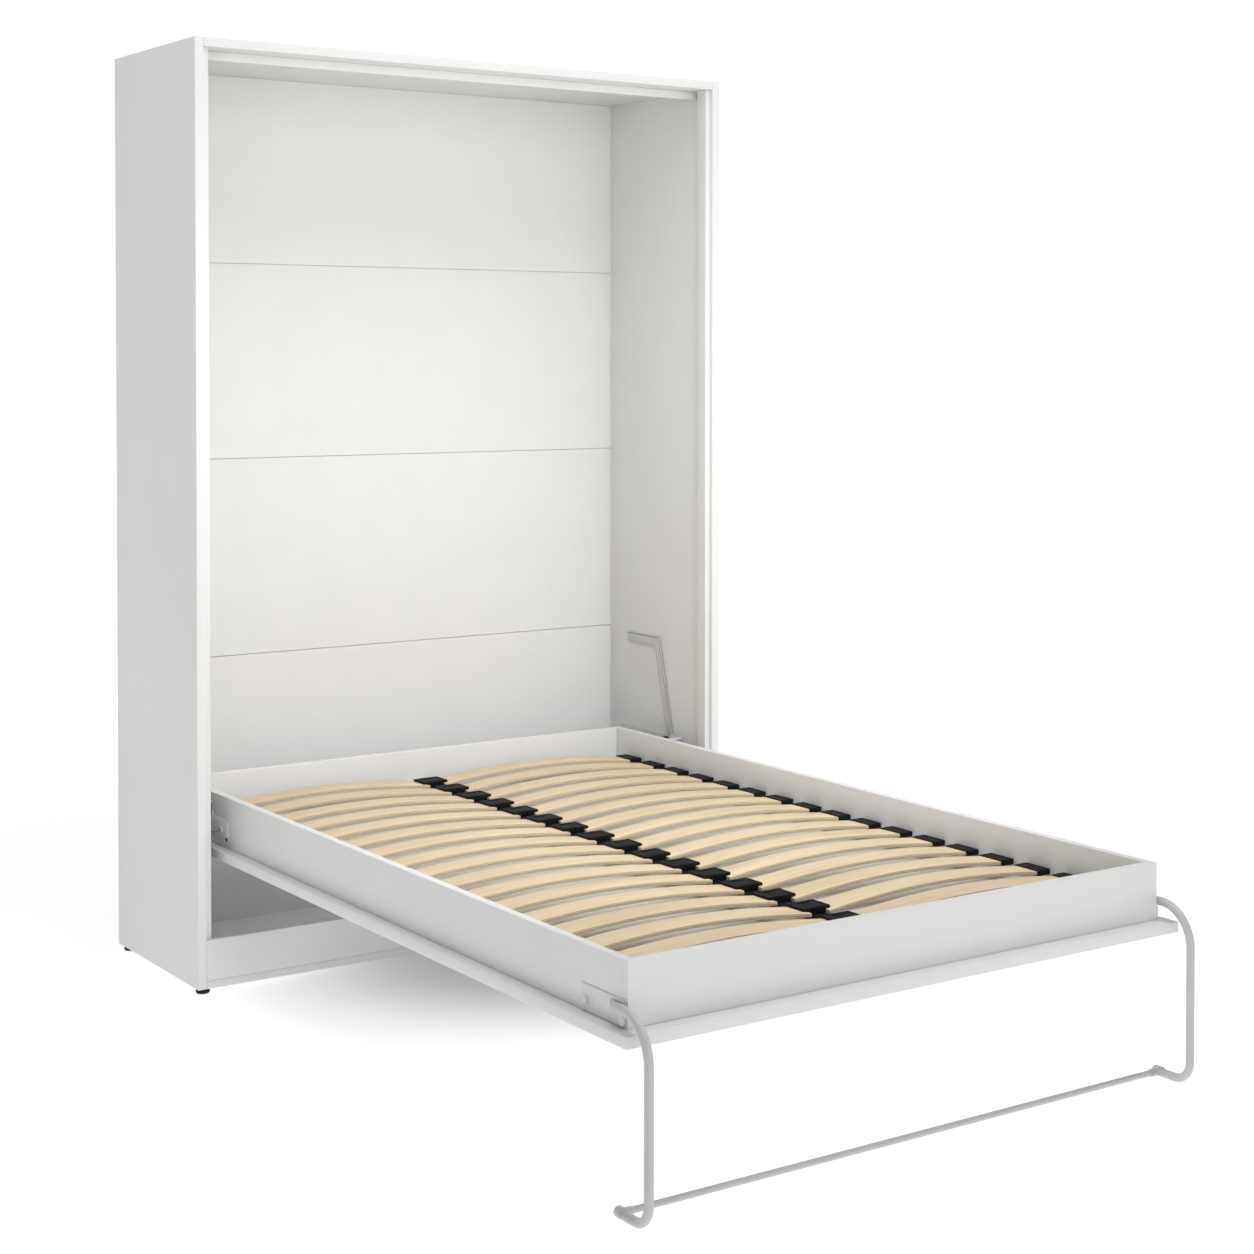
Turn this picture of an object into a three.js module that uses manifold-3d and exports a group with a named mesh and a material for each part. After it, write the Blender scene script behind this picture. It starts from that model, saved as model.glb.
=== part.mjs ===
// Vertical folding wall bed for a 120 x 200 cm mattress, shown folded down.
// Millimetres, +Z up. X runs across the bed, +Y runs from the foot of the bed to the wall.
// Inside this file y = 0 is the front plane of the cabinet; the last lines move the
// whole group so that the origin is the bottom centre of the bounding box.

import * as THREE from 'three';
import { mergeVertices } from 'three/addons/utils/BufferGeometryUtils.js';
import Module from 'manifold-3d';

const wasm = await Module();
wasm.setup();

// ---------- driving dimensions ----------
const gap = 0.3; // between touching pieces
const cabinet = { width: 1440, height: 2180, depth: 510, board: 21, footHeight: 12 };
const base = { boardThick: 18, plinthTop: 124, plinthThick: 18 };
const back = { front: 502, mid: 506, seams: [700, 1198, 1690], seam: 2, lap: 10 };
const batten = { width: 14.7, front: 10, depth: 40 };
const stopStrip = { front: 73.7, depth: 18, bottom: 2138 };
const glide = { radius: 16, inset: 19, frontY: 20, backY: 478 };

const fold = { y: 62, z: 361 }; // main pivot of the bed
const box = { half: 634, board: 18, foot: -1684, head: 356, bottom: 321.3, top: 438 };
const door = { half: 660, foot: -1720, head: 290, bottom: 299.5, top: 321 };
const support = { top: 354, ledgeWidth: 18, beamHalf: 20 };
const slat = {
  rows: 17, first: 242, pitch: 114.3, width: 68, thick: 8, under: 364, crown: 18,
  inner: 34, outer: 576, capEnd: 611, sideCapTop: 374.5, centreCapTop: 376,
};

const leg = {
  x: 645.2, radius: 8.5, pivotY: -1642, pivotZ: 357, startY: -1657, frontY: -1767,
  upperBend: 80, lowerBend: 40, endY: -1672, barY: -1679, barRadius: 6,
};
const eye = { thick: 4, radius: 7, hole: 3.4, inset: 1.8, reach: 33 };
const bolt = { shank: 3, head: 5, headThick: 2.4 };
const bracketThick = 2;
const bendSteps = 10;

const plate = { thick: 3, band: 25, bandProud: 6, top: 690, end: 405, webTop: 430, spacer: 5 };
const pin = { radius: 4.5, collar: 11, start: 635.6, step: 672 };
const hub = { radius: 8, bore: 4.8, end: 642, floor: 635.3 };
const buffer = { y: 142, z: 427, radius: 12, start: 640, end: 652, studRadius: 5 };
const spring = {
  x: 657, anchorY: 430, anchorZ: 330, studY: 212, studZ: 381, tube: 10, rod: 4, bore: 4.4,
  eyeRadius: 11, eyeHole: 5.6, eyeHalf: 6, tubeStart: 9, tubeEnd: 180, boreStart: 23, rodStart: 26,
  pinRadius: 5,
};

const innerX = cabinet.width / 2 - cabinet.board;
const ceiling = cabinet.height - cabinet.board;
const frontToOrigin = (leg.radius - leg.frontY - cabinet.depth) / 2;

// ---------- materials ----------
function finish(color, roughness, metalness = 0) {
  return new THREE.MeshStandardMaterial({ color, roughness, metalness });
}
const whiteBoard = finish(0xf0f0ee, 0.45);
const birch = finish(0xe3cba0, 0.6);
const blackPlastic = finish(0x17171a, 0.5);
const blackRubber = finish(0x141414, 0.8);
const whitePaint = finish(0xe9e9e8, 0.35, 0.1);
const blackPaint = finish(0x1c1c1e, 0.4, 0.2);
const chrome = finish(0xd0d2d6, 0.15, 1);
const steel = finish(0xa9abae, 0.35, 1);

// ---------- shape helpers ----------
const root = new THREE.Group();
const sides = [['left', -1], ['right', 1]];

function add(name, geometry, material) {
  const mesh = new THREE.Mesh(geometry, material);
  mesh.name = name;
  root.add(mesh);
  return mesh;
}

function board(x0, x1, y0, y1, z0, z1) {
  const geometry = new THREE.BoxGeometry(Math.abs(x1 - x0), y1 - y0, z1 - z0);
  return geometry.translate((x0 + x1) / 2, (y0 + y1) / 2, (z0 + z1) / 2);
}

// A (y, z) outline pushed along X from x0 to x1.
function plateAlongX(shape, x0, x1, curveSegments = 12) {
  const depth = Math.abs(x1 - x0);
  const options = { depth, bevelEnabled: false, curveSegments };
  const geometry = new THREE.ExtrudeGeometry(shape, options);
  const yzx = new THREE.Matrix4().makeBasis(
    new THREE.Vector3(0, 1, 0), new THREE.Vector3(0, 0, 1), new THREE.Vector3(1, 0, 0));
  return geometry.applyMatrix4(yzx).translate(Math.min(x0, x1), 0, 0);
}

function outline(points) {
  return new THREE.Shape(points.map(([y, z]) => new THREE.Vector2(y, z)));
}

function rod(x0, x1, y, z, radius, segments = 28) {
  const geometry = new THREE.CylinderGeometry(radius, radius, Math.abs(x1 - x0), segments);
  return geometry.rotateZ(Math.PI / 2).translate((x0 + x1) / 2, y, z);
}

// A stepped round piece: [radius, x] pairs turned about the X line through (y, z).
function turnedAlongX(profile, y, z, side, segments = 32) {
  const points = profile.map(([r, x]) => new THREE.Vector2(r, x));
  const geometry = new THREE.LatheGeometry(points, segments);
  return geometry.rotateZ(side > 0 ? -Math.PI / 2 : Math.PI / 2).translate(0, y, z);
}

function toSolid(geometry) {
  const bare = geometry.clone();
  bare.deleteAttribute('normal');
  bare.deleteAttribute('uv');
  const merged = mergeVertices(bare, 1e-4);
  return new wasm.Manifold(new wasm.Mesh({
    numProp: 3,
    vertProperties: new Float32Array(merged.attributes.position.array),
    triVerts: new Uint32Array(merged.index.array),
  }));
}

function toGeometry(solid) {
  const mesh = solid.getMesh();
  const geometry = new THREE.BufferGeometry();
  geometry.setAttribute('position', new THREE.BufferAttribute(mesh.vertProperties, 3));
  geometry.setIndex(new THREE.BufferAttribute(mesh.triVerts, 1));
  geometry.computeVertexNormals();
  return geometry;
}

function join(pieces, cuts = []) {
  let solid = toSolid(pieces[0]);
  for (const piece of pieces.slice(1)) {
    solid = solid.add(toSolid(piece));
  }
  for (const cut of cuts) {
    solid = solid.subtract(toSolid(cut));
  }
  return toGeometry(solid);
}

// ---------- cabinet ----------
function cabinetCase() {
  const half = cabinet.width / 2;
  const shelf = innerX - gap;
  for (const [name, s] of sides) {
    const panel = board(s * innerX, s * half, 0, cabinet.depth, cabinet.footHeight, cabinet.height);
    add(`side_panel_${name}`, panel, whiteBoard);
  }
  add('top_panel', board(-shelf, shelf, 0, cabinet.depth, ceiling, cabinet.height), whiteBoard);
  const baseTop = cabinet.footHeight + base.boardThick;
  const baseBoard = board(-shelf, shelf, 0, back.front - gap, cabinet.footHeight, baseTop);
  add('bottom_panel', baseBoard, whiteBoard);
  const plinth = board(-shelf, shelf, 0, base.plinthThick, baseTop + gap, base.plinthTop);
  add('plinth_board', plinth, whiteBoard);
}

function stopBattens() {
  for (const [name, s] of sides) {
    const outer = innerX - gap;
    const strip = board(s * (outer - batten.width), s * outer, batten.front,
      batten.front + batten.depth, base.plinthTop + gap, ceiling - gap);
    add(`stop_batten_${name}`, strip, whiteBoard);
  }
  const reach = innerX - gap;
  const strip = board(-reach, reach, stopStrip.front, stopStrip.front + stopStrip.depth,
    stopStrip.bottom, ceiling - gap);
  add('stop_strip_top', strip, whiteBoard);
}

// Four boards with half-lapped edges, so no seam is open right through.
function backBoards() {
  const floor = cabinet.footHeight;
  const levels = [floor, ...back.seams, ceiling];
  const reach = innerX - gap;
  for (let i = 0; i < levels.length - 1; i += 1) {
    const first = i === 0;
    const last = i === levels.length - 2;
    const low = levels[i] + (first ? 0 : back.seam / 2);
    const high = levels[i + 1] - (last ? gap : back.seam / 2);
    const points = [[back.front, low]];
    if (!first) {
      const lipBottom = levels[i] - back.lap + gap / 2;
      points.push([back.mid + gap / 2, low], [back.mid + gap / 2, lipBottom]);
      points.push([cabinet.depth, lipBottom]);
    } else {
      points.push([cabinet.depth, low]);
    }
    if (!last) {
      const rebate = levels[i + 1] - back.lap - gap / 2;
      points.push([cabinet.depth, rebate], [back.mid - gap / 2, rebate]);
      points.push([back.mid - gap / 2, high]);
    } else {
      points.push([cabinet.depth, high]);
    }
    points.push([back.front, high]);
    add(`back_board_${i + 1}`, plateAlongX(outline(points), -reach, reach), whiteBoard);
  }
}

function glideFeet() {
  const top = cabinet.footHeight - gap;
  const profile = [[0, 0], [13, 0], [glide.radius, 3], [glide.radius, 8], [11, 9.5], [11, top], [0, top]];
  const x = cabinet.width / 2 - glide.inset;
  for (const [row, y] of [['front', glide.frontY], ['back', glide.backY]]) {
    for (const [name, s] of sides) {
      const points = profile.map(([r, z]) => new THREE.Vector2(r, z));
      const foot = new THREE.LatheGeometry(points, 32).rotateX(Math.PI / 2);
      add(`glide_foot_${row}_${name}`, foot.translate(s * x, y, 0), blackPlastic);
    }
  }
}

// ---------- fold mechanism ----------
function mechanismPlates() {
  const web = outline([
    [51, 326], [70, 305], [452, 305], [452, 360], [440, plate.webTop], [183, plate.webTop], [150, 392],
    [51, 392]]);
  const low = plate.webTop - 30;
  const { top, band, end } = plate;
  const raised = outline([
    [183, low], [183, plate.webTop], [248, top], [end, top], [end, top - band],
    [267, top - band], [208, plate.webTop], [208, low]]);
  const wall = innerX - gap;
  const spacers = [[201, 455], [251, 660], [385, 678]];
  for (const [name, s] of sides) {
    const bandBack = wall - plate.thick + 0.1;
    const pieces = [
      plateAlongX(web, s * (wall - plate.thick), s * wall),
      plateAlongX(raised, s * (wall - plate.bandProud), s * bandBack),
      ...spacers.map(([y, z]) => rod(s * (bandBack - 1), s * wall, y, z, plate.spacer)),
      rod(s * (spring.x - spring.eyeHalf - 3), s * (wall - 1), spring.anchorY, spring.anchorZ,
        spring.pinRadius),
    ];
    add(`mech_plate_${name}`, join(pieces), whitePaint);
  }
}

function pivotPins() {
  const end = innerX - gap - plate.thick - gap;
  const profile = [[0, pin.start], [pin.radius, pin.start], [pin.radius, pin.step],
    [pin.collar, pin.step], [pin.collar, end], [0, end]];
  for (const [name, s] of sides) {
    add(`pivot_pin_${name}`, turnedAlongX(profile, fold.y, fold.z, s), whitePaint);
  }
}

function stopBuffers() {
  const end = innerX - gap - plate.thick - gap;
  const r = buffer.radius;
  const profile = [[0, buffer.start], [r - 3, buffer.start], [r, buffer.start + 3],
    [r, buffer.end - 2], [r - 2, buffer.end], [buffer.studRadius, buffer.end],
    [buffer.studRadius, end], [0, end]];
  for (const [name, s] of sides) {
    add(`stop_buffer_${name}`, turnedAlongX(profile, buffer.y, buffer.z, s), blackRubber);
  }
}

// Plate on the bed's side rail: low hub for the pivot, tab for the buffer, stud for the gas spring.
function hingePlates() {
  const shape = new THREE.Shape();
  const tab = buffer.z - buffer.radius - gap;
  shape.moveTo(30, 338);
  shape.lineTo(200, 338);
  shape.lineTo(230, 366);
  shape.absarc(spring.studY, spring.studZ, 22, -0.5, Math.PI / 2, false);
  shape.lineTo(160, 403);
  shape.lineTo(150, tab);
  shape.lineTo(126, tab);
  shape.lineTo(112, 385);
  shape.lineTo(30, 385);
  shape.absarc(30, 379, 6, Math.PI / 2, Math.PI, false);
  shape.lineTo(24, 344);
  shape.absarc(30, 344, 6, Math.PI, Math.PI * 1.5, false);
  const inner = box.half + gap;
  for (const [name, s] of sides) {
    const pieces = [
      plateAlongX(shape, s * inner, s * (inner + 4)),
      rod(s * (inner + 1), s * hub.end, fold.y, fold.z, hub.radius, 40),
      rod(s * (inner + 1), s * (spring.x - spring.eyeHalf - gap), spring.studY, spring.studZ,
        spring.pinRadius),
    ];
    const bore = rod(s * hub.floor, s * (hub.end + 5), fold.y, fold.z, hub.bore, 40);
    add(`hinge_plate_${name}`, join(pieces, [bore]), whitePaint);
  }
}

// ---------- gas springs ----------
const springRun = new THREE.Vector3(0, spring.studY - spring.anchorY, spring.studZ - spring.anchorZ);
const springLength = springRun.length();

function springEye(distance) {
  const ring = new THREE.Shape();
  ring.absarc(distance, 0, spring.eyeRadius, 0, Math.PI * 2, false);
  const hole = new THREE.Path();
  hole.absarc(distance, 0, spring.eyeHole, 0, Math.PI * 2, true);
  ring.holes.push(hole);
  return plateAlongX(ring, -spring.eyeHalf, spring.eyeHalf, 16);
}

function turnedAlongY(profile) {
  return new THREE.LatheGeometry(profile.map(([r, y]) => new THREE.Vector2(r, y)), 28);
}

function gasSprings() {
  const r = spring.tube;
  const tube = turnedAlongY([
    [0, spring.tubeStart], [6, spring.tubeStart], [r, spring.tubeStart + 7], [r, spring.tubeEnd - 3],
    [r - 3, spring.tubeEnd], [spring.bore, spring.tubeEnd], [spring.bore, spring.boreStart],
    [0, spring.boreStart]]);
  const shaft = turnedAlongY([
    [0, spring.rodStart], [spring.rod, spring.rodStart],
    [spring.rod, springLength - spring.eyeRadius - 8], [6, springLength - spring.eyeRadius - 8],
    [6, springLength - spring.eyeRadius + 2], [0, springLength - spring.eyeRadius + 2]]);
  const tilt = Math.atan2(springRun.z, springRun.y);
  for (const [name, s] of sides) {
    const cylinder = add(`gas_cylinder_${name}`, join([tube, springEye(0)]), blackPaint);
    const piston = add(`gas_rod_${name}`, join([shaft, springEye(springLength)]), chrome);
    for (const mesh of [cylinder, piston]) {
      mesh.position.set(s * spring.x, spring.anchorY, spring.anchorZ);
      mesh.rotation.x = tilt;
    }
  }
}

// ---------- bed ----------
function bedBox() {
  add('door_panel', board(-door.half, door.half, door.foot, door.head, door.bottom, door.top), whiteBoard);
  const footInner = box.foot + box.board;
  const footboard = board(-box.half, box.half, box.foot, footInner, box.bottom, box.top);
  add('footboard', footboard, whiteBoard);
  const inner = box.half - box.board;
  for (const [name, s] of sides) {
    const rail = board(s * inner, s * box.half, footInner + gap, box.head, box.bottom, box.top);
    add(`side_rail_${name}`, rail, whiteBoard);
  }
  const headFront = box.head - box.board;
  const headboard = board(-inner + gap, inner - gap, headFront, box.head, box.bottom, box.top);
  add('headboard', headboard, whiteBoard);

  const from = footInner + gap;
  const to = headFront - gap;
  for (const [name, s] of sides) {
    const x = inner - gap;
    const ledge = board(s * (x - support.ledgeWidth), s * x, from, to, box.bottom, support.top);
    add(`slat_ledge_${name}`, ledge, whiteBoard);
  }
  const beam = board(-support.beamHalf, support.beamHalf, from, to, box.bottom, support.top);
  add('centre_beam', beam, whiteBoard);
}

// One row: side cap, bowed slat, centre holder, bowed slat, side cap, as one outline in X and Z.
function slatRowShape() {
  const foot = support.top + gap;
  const top = slat.under + slat.thick;
  const middle = (slat.inner + slat.outer) / 2;
  const rise = slat.crown * 2;
  const shape = new THREE.Shape();
  shape.moveTo(-slat.capEnd, foot);
  shape.lineTo(-slat.outer, foot);
  shape.lineTo(-slat.outer, slat.under);
  shape.quadraticCurveTo(-middle, slat.under + rise, -slat.inner, slat.under);
  shape.lineTo(-slat.inner, foot);
  shape.lineTo(slat.inner, foot);
  shape.lineTo(slat.inner, slat.under);
  shape.quadraticCurveTo(middle, slat.under + rise, slat.outer, slat.under);
  shape.lineTo(slat.outer, foot);
  shape.lineTo(slat.capEnd, foot);
  shape.lineTo(slat.capEnd, slat.sideCapTop);
  shape.lineTo(slat.outer, slat.sideCapTop);
  shape.lineTo(slat.outer, top);
  shape.quadraticCurveTo(middle, top + rise, slat.inner, top);
  shape.lineTo(slat.inner, slat.centreCapTop);
  shape.lineTo(-slat.inner, slat.centreCapTop);
  shape.lineTo(-slat.inner, top);
  shape.quadraticCurveTo(-middle, top + rise, -slat.outer, top);
  shape.lineTo(-slat.outer, slat.sideCapTop);
  shape.lineTo(-slat.capEnd, slat.sideCapTop);
  return shape;
}

function slatRows() {
  const shape = slatRowShape();
  for (let i = 0; i < slat.rows; i += 1) {
    const options = { depth: slat.width, bevelEnabled: false, curveSegments: 6 };
    const row = new THREE.ExtrudeGeometry(shape, options).rotateX(Math.PI / 2);
    row.translate(0, slat.first - i * slat.pitch + slat.width / 2, 0);
    add(`slat_row_${String(i + 1).padStart(2, '0')}`, row, birch);
  }
}

// ---------- folding leg ----------
function legBrackets() {
  const shape = outline([
    [-1537, 322.3], [-1537, 370], [-1668, 370], [-1681, 364], [-1677, 327], [-1662, 322.3]]);
  const inner = box.half + gap;
  const face = inner + bracketThick;
  const eyeFace = leg.x - leg.radius + eye.inset + eye.thick;
  for (const [name, s] of sides) {
    add(`leg_bracket_${name}`, plateAlongX(shape, s * inner, s * face), whitePaint);
    const headStart = eyeFace + gap;
    const profile = [[0, face + gap], [bolt.shank, face + gap], [bolt.shank, headStart],
      [bolt.head, headStart], [bolt.head, headStart + bolt.headThick],
      [0, headStart + bolt.headThick]];
    add(`leg_bolt_${name}`, turnedAlongX(profile, leg.pivotY, leg.pivotZ, s), steel);
  }
}

function arcPoints(centreY, centreZ, radius, from, to, x) {
  const points = [];
  for (let i = 0; i <= bendSteps; i += 1) {
    const a = THREE.MathUtils.degToRad(from + ((to - from) * i) / bendSteps);
    points.push(new THREE.Vector3(x, centreY + radius * Math.cos(a), centreZ + radius * Math.sin(a)));
  }
  return points;
}

// The bent centre line of a leg tube: straight, bend, upright, bend, floor stub.
function legPath(x) {
  const bendY = leg.frontY + leg.upperBend;
  const bendZ = leg.pivotZ - leg.upperBend;
  const lowY = leg.frontY + leg.lowerBend;
  const lowZ = leg.radius + leg.lowerBend;
  const corners = [
    new THREE.Vector3(x, leg.startY, leg.pivotZ),
    ...arcPoints(bendY, bendZ, leg.upperBend, 90, 180, x),
    ...arcPoints(lowY, lowZ, leg.lowerBend, 180, 270, x),
    new THREE.Vector3(x, leg.endY, leg.radius),
  ];
  const path = new THREE.CurvePath();
  for (let i = 1; i < corners.length; i += 1) {
    path.add(new THREE.LineCurve3(corners[i - 1], corners[i]));
  }
  return path;
}

function legFrame() {
  const section = new THREE.Shape();
  section.absarc(0, 0, leg.radius, 0, Math.PI * 2, false);
  for (const [name, s] of sides) {
    const options = { steps: 48, curveSegments: 7, extrudePath: legPath(s * leg.x) };
    const tube = new THREE.ExtrudeGeometry(section, options);
    const lug = new THREE.Shape();
    lug.absarc(leg.pivotY, leg.pivotZ, eye.radius, -Math.PI / 2, Math.PI / 2, false);
    lug.lineTo(leg.pivotY - eye.reach, leg.pivotZ + 6);
    lug.lineTo(leg.pivotY - eye.reach, leg.pivotZ - 6);
    const x0 = leg.x - leg.radius + eye.inset;
    const flat = plateAlongX(lug, s * x0, s * (x0 + eye.thick));
    const hole = rod(s * (x0 - 2), s * (x0 + eye.thick + 2), leg.pivotY, leg.pivotZ, eye.hole);
    add(`leg_tube_${name}`, join([tube, flat], [hole]), whitePaint);
  }
  const reach = leg.x - leg.radius - gap;
  add('leg_crossbar', rod(-reach, reach, leg.barY, leg.radius, leg.barRadius, 24), whitePaint);
}

cabinetCase();
stopBattens();
backBoards();
glideFeet();
mechanismPlates();
pivotPins();
stopBuffers();
hingePlates();
gasSprings();
bedBox();
slatRows();
legBrackets();
legFrame();
root.position.y = frontToOrigin;

export default root;
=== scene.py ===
import math

import bmesh
import bpy
from mathutils import Euler, Matrix, Vector


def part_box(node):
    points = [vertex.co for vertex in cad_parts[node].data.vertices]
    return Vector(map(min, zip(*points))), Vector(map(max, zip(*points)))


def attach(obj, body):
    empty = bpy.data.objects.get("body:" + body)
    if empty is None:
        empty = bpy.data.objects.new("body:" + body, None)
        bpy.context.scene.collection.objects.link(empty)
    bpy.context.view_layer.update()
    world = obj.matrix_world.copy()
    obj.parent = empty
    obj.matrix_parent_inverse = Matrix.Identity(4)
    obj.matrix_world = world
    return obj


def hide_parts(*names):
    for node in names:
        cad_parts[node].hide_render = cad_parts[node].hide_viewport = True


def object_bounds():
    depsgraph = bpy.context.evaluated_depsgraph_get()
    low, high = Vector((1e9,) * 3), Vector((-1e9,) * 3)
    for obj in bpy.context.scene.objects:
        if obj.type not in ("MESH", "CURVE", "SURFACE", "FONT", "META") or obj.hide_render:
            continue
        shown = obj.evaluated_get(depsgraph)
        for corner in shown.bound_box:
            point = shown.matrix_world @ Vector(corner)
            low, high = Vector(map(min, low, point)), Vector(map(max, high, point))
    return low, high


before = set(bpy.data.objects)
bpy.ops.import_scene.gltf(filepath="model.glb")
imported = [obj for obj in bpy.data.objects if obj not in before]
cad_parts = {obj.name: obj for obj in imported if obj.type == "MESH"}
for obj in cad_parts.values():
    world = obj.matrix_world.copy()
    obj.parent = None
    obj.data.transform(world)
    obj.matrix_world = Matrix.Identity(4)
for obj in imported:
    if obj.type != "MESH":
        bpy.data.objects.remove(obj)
cadLow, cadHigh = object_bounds()
scene = bpy.context.scene
sides = (("left", -1), ("right", 1))
print("frame loaded:", len(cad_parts), "nodes")


# camera

cameraSetup = {
    "place": (-2.6716, -4.2554, 1.4695),
    "lens": 64.63,
    "turn": 36.28,       # degrees to the right of straight ahead
    "down": 1.36,
    "roll": 0.13,
    "shift": (-0.121, -0.1765),
}


def makeCamera():
    data = bpy.data.cameras.new("bedCamera")
    data.sensor_width = 36
    data.lens = cameraSetup["lens"]
    data.shift_x, data.shift_y = cameraSetup["shift"]
    data.clip_start, data.clip_end = 0.05, 200
    camera = bpy.data.objects.new("bedCamera", data)
    scene.collection.objects.link(camera)
    aim = Euler((math.radians(90 - cameraSetup["down"]), 0, -math.radians(cameraSetup["turn"])))
    turned = aim.to_matrix() @ Matrix.Rotation(math.radians(cameraSetup["roll"]), 3, "Z")
    camera.matrix_world = Matrix.Translation(cameraSetup["place"]) @ turned.to_4x4()
    scene.camera = camera


makeCamera()
print("camera placed")


# studio

studio = {
    "skyLow": 1.02,       # white band behind the object
    "skyHigh": 0.12,
    "bandTop": (0.19, 0.32),
    "floorRadius": 30.0,
    "floorGlow": (2.3, 5.2),   # the far floor fades into the white band
    "floorTone": 0.4,
    "floorDrop": 0.0004,       # below the feet
    "floorPlain": 0.22,        # glow of the floor near the shaded spot
    "floorLift": 0.80,         # and away from it
    "nearGlow": (0.2, 0.85),   # from one to the other, measured from that spot
    "shadedSpot": (0.1, 0.5, 0),     # under the bed, in front of the cabinet
    "sideSky": (-0.1, 0.4, 0.70),    # the sky is dimmer towards -Y, behind the camera
    "beam": {"bedFill": 120},        # degrees, for a lamp narrower than 180
    "lights": (
        ("frontKey", (0.3, -5.2, 2.6), (0.1, 0.8, 0.6), 4.0, 2.6, 43),
        ("overhead", (0.3, -0.7, 5.0), (0.2, -0.2, 0.0), 5.0, 5.0, 182),
        ("bedFill", (0.1, -0.9, 1.7), (0.0, 0.9, 0.3), 1.4, 0.8, 8.5),
    ),
}


def addNode(tree, kind, place=(0, 0), **settings):
    node = tree.nodes.new(kind)
    node.location = place
    for key, value in settings.items():
        setattr(node, key, value)
    return node


def makeSky():
    world = bpy.data.worlds.new("studioSky")
    scene.world = world
    world.use_nodes = True
    tree = world.node_tree
    background = tree.nodes["Background"]
    spot = addNode(tree, "ShaderNodeTexCoord", (-800, 0))
    split = addNode(tree, "ShaderNodeSeparateXYZ", (-600, 0))
    fade = addNode(tree, "ShaderNodeMapRange", (-400, 0), interpolation_type="SMOOTHSTEP")
    fade.inputs["From Min"].default_value = studio["bandTop"][0]
    fade.inputs["From Max"].default_value = studio["bandTop"][1]
    fade.inputs["To Min"].default_value = studio["skyLow"]
    fade.inputs["To Max"].default_value = studio["skyHigh"]
    tree.links.new(spot.outputs["Generated"], split.inputs[0])
    tree.links.new(split.outputs["Z"], fade.inputs["Value"])
    dim = addNode(tree, "ShaderNodeMapRange", (-400, -300), interpolation_type="SMOOTHSTEP")
    start, end, least = studio["sideSky"]
    for key, number in (("From Min", start), ("From Max", end), ("To Min", least), ("To Max", 1)):
        dim.inputs[key].default_value = number
    both = addNode(tree, "ShaderNodeMath", (-200, 0), operation="MULTIPLY")
    tree.links.new(split.outputs["Y"], dim.inputs["Value"])
    tree.links.new(fade.outputs["Result"], both.inputs[0])
    tree.links.new(dim.outputs["Result"], both.inputs[1])
    tree.links.new(both.outputs["Value"], background.inputs["Strength"])
    background.inputs["Color"].default_value = (1, 1, 1, 1)


def makeFloor():
    bm = bmesh.new()
    bmesh.ops.create_circle(bm, cap_ends=True, radius=studio["floorRadius"], segments=96)
    bmesh.ops.translate(bm, vec=(0, 0, cadLow.z - studio["floorDrop"]), verts=bm.verts)
    mesh = bpy.data.meshes.new("studioFloor")
    bm.to_mesh(mesh)
    bm.free()
    material = bpy.data.materials.new("studioFloorPaint")
    material.use_nodes = True
    tree = material.node_tree
    shader = tree.nodes["Principled BSDF"]
    shader.inputs["Base Color"].default_value = (*[studio["floorTone"]] * 3, 1)
    shader.inputs["Roughness"].default_value = 0.9
    shader.inputs["Specular IOR Level"].default_value = 0.1
    shader.inputs["Emission Color"].default_value = (1, 1, 1, 1)
    spot = addNode(tree, "ShaderNodeTexCoord", (-1000, 0))
    glows = []
    for centre, span, low, high in (
            ((0, 0, 0), studio["floorGlow"], 0.0, studio["skyLow"] - studio["floorLift"]),
            (studio["shadedSpot"], studio["nearGlow"], studio["floorPlain"], studio["floorLift"])):
        reach = addNode(tree, "ShaderNodeVectorMath", (-800, 0), operation="DISTANCE")
        reach.inputs[1].default_value = centre
        fade = addNode(tree, "ShaderNodeMapRange", (-600, 0), interpolation_type="SMOOTHSTEP")
        fade.inputs["From Min"].default_value, fade.inputs["From Max"].default_value = span
        fade.inputs["To Min"].default_value = low
        fade.inputs["To Max"].default_value = high
        tree.links.new(spot.outputs["Object"], reach.inputs[0])
        tree.links.new(reach.outputs["Value"], fade.inputs["Value"])
        glows.append(fade.outputs["Result"])
    total = addNode(tree, "ShaderNodeMath", (-400, 0), operation="ADD")
    for number, glow in enumerate(glows):
        tree.links.new(glow, total.inputs[number])
    tree.links.new(total.outputs["Value"], shader.inputs["Emission Strength"])
    mesh.materials.append(material)
    floor = bpy.data.objects.new("studioFloor", mesh)
    scene.collection.objects.link(floor)


def makeLights():
    for name, place, aim, width, height, power in studio["lights"]:
        data = bpy.data.lights.new(name, "AREA")
        data.shape = "RECTANGLE"
        data.size, data.size_y, data.energy = width, height, power
        lamp = bpy.data.objects.new(name, data)
        lamp.location = place
        lamp.visible_camera = False
        data.spread = math.radians(studio["beam"].get(name, 180))
        lamp.rotation_euler = (Vector(aim) - Vector(place)).to_track_quat("-Z", "Y").to_euler()
        scene.collection.objects.link(lamp)


makeSky()
makeFloor()
makeLights()
scene.view_settings.view_transform = "Standard"
print("studio lit")


# finishes

def startMaterial(name, color, roughness, metallic=0.0, specular=0.5):
    material = bpy.data.materials.new(name)
    material.use_nodes = True
    tree = material.node_tree
    shader = tree.nodes["Principled BSDF"]
    shader.inputs["Base Color"].default_value = (*color, 1)
    shader.inputs["Roughness"].default_value = roughness
    shader.inputs["Metallic"].default_value = metallic
    shader.inputs["Specular IOR Level"].default_value = specular
    return material, tree, shader


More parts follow.
